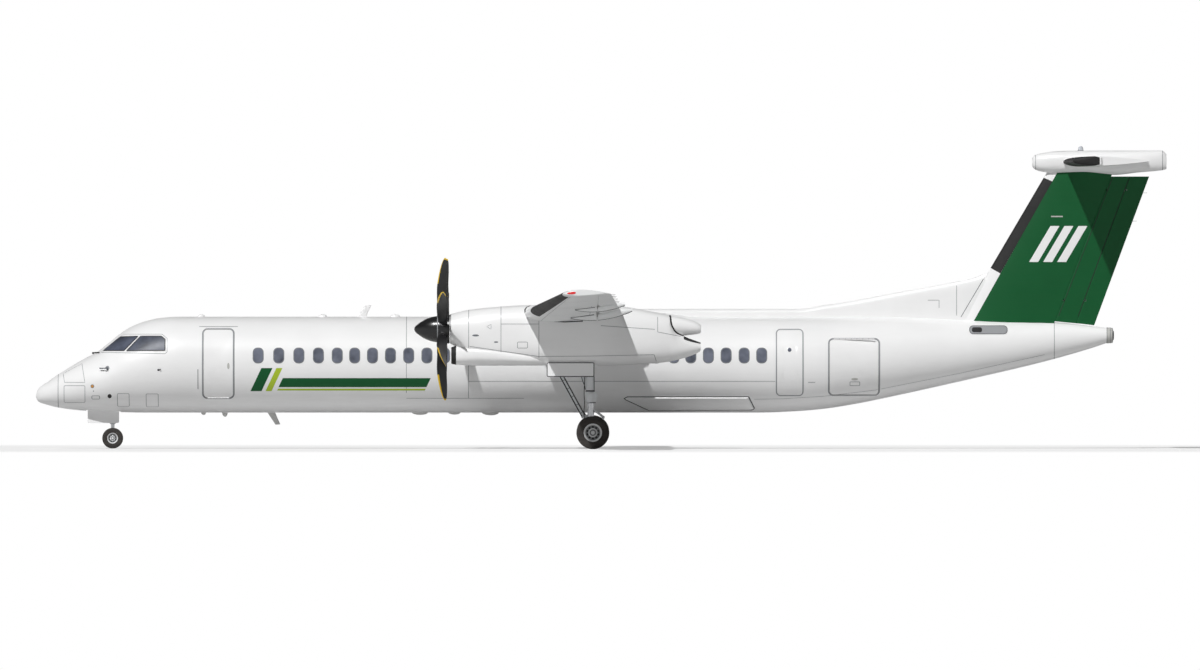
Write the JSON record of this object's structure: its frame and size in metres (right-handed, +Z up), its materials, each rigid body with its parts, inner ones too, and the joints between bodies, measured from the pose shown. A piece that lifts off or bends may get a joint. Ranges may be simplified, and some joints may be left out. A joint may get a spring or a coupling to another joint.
{
  "type": "turboprop airliner",
  "caption": "Regional turboprop airliner with a high wing and a T tail, on its landing gear; its propellers, wheels, control surfaces, flaps and doors move.",
  "frame": {"origin": "on the ground under the aeroplane, at the middle of its length and span", "axes": "+X towards the tail, +Y towards the right wing, +Z up; the nose points along -X"},
  "size_m": [32.812, 28.42, 8.78],
  "materials": {
    "white_paint": "gloss",
    "wing_paint": "satin",
    "green_paint": "gloss",
    "black_blade": "satin",
    "tinted_glass": "polished",
    "tyre": "matte",
    "wheel_paint": "satin",
    "gear_paint": "satin",
    "hot_metal": "brushed"
  },
  "bodies": {
    "airframe": {"fuselage": "white_paint", "radome": "white_paint", "tail_cone": "white_paint", "windshield_left": "tinted_glass", "windshield_right": "tinted_glass", "side_window_left": "tinted_glass", "side_window_right": "tinted_glass", "aft_passenger_door": "white_paint", "aft_service_door": "white_paint", "forward_exit": "white_paint", "belly_fairing_left": "white_paint", "belly_fairing_right": "white_paint", "wing": "wing_paint", "wing_fairing": "white_paint", "nacelle_left": "white_paint", "nacelle_right": "white_paint", "engine_left": "hot_metal", "engine_right": "hot_metal", "exhaust_left": "hot_metal", "exhaust_right": "hot_metal", "main_leg_left": "gear_paint", "main_leg_right": "gear_paint", "main_gear_doors_left": "white_paint", "main_gear_doors_right": "white_paint", "nose_leg": "gear_paint", "nose_gear_door_left": "white_paint", "nose_gear_door_right": "white_paint", "fin": "green_paint", "dorsal_fin": "white_paint", "tail_bullet": "white_paint", "tailplane": "white_paint"},
    "propeller_left": {"propeller_left": "black_blade"},
    "propeller_right": {"propeller_right": "black_blade"},
    "main_wheels_left": {"main_wheels_left_rims": "wheel_paint", "main_wheels_left_tyre_inner": "tyre", "main_wheels_left_tyre_outer": "tyre"},
    "main_wheels_right": {"main_wheels_right_rims": "wheel_paint", "main_wheels_right_tyre_inner": "tyre", "main_wheels_right_tyre_outer": "tyre"},
    "nose_fork": {"nose_fork": "gear_paint"},
    "nose_wheels": {"nose_wheels_rims": "wheel_paint", "nose_wheels_tyre_left": "tyre", "nose_wheels_tyre_right": "tyre"},
    "aileron_left": {"aileron_left": "wing_paint"},
    "aileron_right": {"aileron_right": "wing_paint"},
    "flap_inboard_left": {"flap_inboard_left": "wing_paint"},
    "flap_inboard_right": {"flap_inboard_right": "wing_paint"},
    "flap_outboard_left": {"flap_outboard_left": "wing_paint"},
    "flap_outboard_right": {"flap_outboard_right": "wing_paint"},
    "elevators": {"elevator_left": "white_paint", "elevator_right": "white_paint"},
    "rudder_fore": {"rudder_fore": "green_paint"},
    "rudder_trailing": {"rudder_trailing": "green_paint"},
    "airstair_door": {"airstair_door": "white_paint"},
    "aft_baggage_door": {"aft_baggage_door": "white_paint"},
    "forward_baggage_door": {"forward_baggage_door": "white_paint"}
  },
  "joints": [
    {"name": "propeller_left_spin", "type": "hinge", "parent": "airframe", "child": "propeller_left", "pos_m": [-4.564, -4.4, 3.463], "axis": [1, 0, 0], "continuous": true},
    {"name": "propeller_right_spin", "type": "hinge", "parent": "airframe", "child": "propeller_right", "pos_m": [-4.564, 4.4, 3.463], "axis": [1, 0, 0], "continuous": true},
    {"name": "main_wheels_left_roll", "type": "hinge", "parent": "airframe", "child": "main_wheels_left", "pos_m": [-0.242, -4.4, 0.476], "axis": [0, 1, 0], "continuous": true},
    {"name": "main_wheels_right_roll", "type": "hinge", "parent": "airframe", "child": "main_wheels_right", "pos_m": [-0.242, 4.4, 0.476], "axis": [0, 1, 0], "continuous": true},
    {"name": "nose_steering", "type": "hinge", "parent": "airframe", "child": "nose_fork", "pos_m": [-14.18, 0, 0.78], "axis": [0, 0, 1], "range_deg": [-70, 70]},
    {"name": "nose_wheels_roll", "type": "hinge", "parent": "nose_fork", "child": "nose_wheels", "pos_m": [-14.18, 0, 0.3], "axis": [0, 1, 0], "continuous": true},
    {"name": "aileron_left_hinge", "type": "hinge", "parent": "airframe", "child": "aileron_left", "pos_m": [-0.06571, -10.7, 4.28726], "axis": [-0.0025, 0.9982, -0.0595], "range_deg": [-20, 20]},
    {"name": "aileron_right_hinge", "type": "hinge", "parent": "airframe", "child": "aileron_right", "pos_m": [-0.06571, 10.7, 4.28726], "axis": [0.0025, 0.9982, 0.0595], "range_deg": [-20, 20]},
    {"name": "flap_inboard_left_hinge", "type": "hinge", "parent": "airframe", "child": "flap_inboard_left", "pos_m": [-0.12145, -2.58, 3.68104], "axis": [0, 1, 0], "range_deg": [0, 35]},
    {"name": "flap_inboard_right_hinge", "type": "hinge", "parent": "airframe", "child": "flap_inboard_right", "pos_m": [-0.12145, 2.58, 3.68104], "axis": [0, 1, 0], "range_deg": [0, 35]},
    {"name": "flap_outboard_left_hinge", "type": "hinge", "parent": "airframe", "child": "flap_outboard_left", "pos_m": [-0.1158, -6.3, 3.764], "axis": [-0.0049, 0.9966, -0.0827], "range_deg": [0, 35]},
    {"name": "flap_outboard_right_hinge", "type": "hinge", "parent": "airframe", "child": "flap_outboard_right", "pos_m": [-0.1158, 6.3, 3.764], "axis": [0.0049, 0.9966, 0.0827], "range_deg": [0, 35]},
    {"name": "elevator_hinge", "type": "hinge", "parent": "airframe", "child": "elevators", "pos_m": [14.435, 0, 8.316], "axis": [0, 1, 0], "range_deg": [-25, 15]},
    {"name": "rudder_fore_hinge", "type": "hinge", "parent": "airframe", "child": "rudder_fore", "pos_m": [13.44097, 0, 4.3], "axis": [0.363, 0, 0.9318], "range_deg": [-18, 18]},
    {"name": "rudder_trailing_hinge", "type": "hinge", "parent": "rudder_fore", "child": "rudder_trailing", "pos_m": [14.05364, 0, 4.3], "axis": [0.3457, 0, 0.9384], "range_deg": [-18, 18]},
    {"name": "airstair_door_hinge", "type": "hinge", "parent": "airframe", "child": "airstair_door", "pos_m": [-11.412, -1.00895, 1.475], "axis": [1, 0, 0], "range_deg": [0, 126]},
    {"name": "aft_baggage_door_hinge", "type": "hinge", "parent": "airframe", "child": "aft_baggage_door", "pos_m": [6.73, -1.11995, 3.172], "axis": [-1, 0, 0], "range_deg": [0, 115]},
    {"name": "forward_baggage_door_hinge", "type": "hinge", "parent": "airframe", "child": "forward_baggage_door", "pos_m": [-11.5, 1.31168, 2.9], "axis": [1, 0, 0], "range_deg": [0, 115]}
  ],
  "couplings": [
    {"joint": "aileron_right_hinge", "follows": "aileron_left_hinge", "ratio": -1},
    {"joint": "flap_inboard_right_hinge", "follows": "flap_inboard_left_hinge", "ratio": 1},
    {"joint": "flap_outboard_left_hinge", "follows": "flap_inboard_left_hinge", "ratio": 1},
    {"joint": "flap_outboard_right_hinge", "follows": "flap_inboard_left_hinge", "ratio": 1},
    {"joint": "rudder_trailing_hinge", "follows": "rudder_fore_hinge", "ratio": 1}
  ]
}
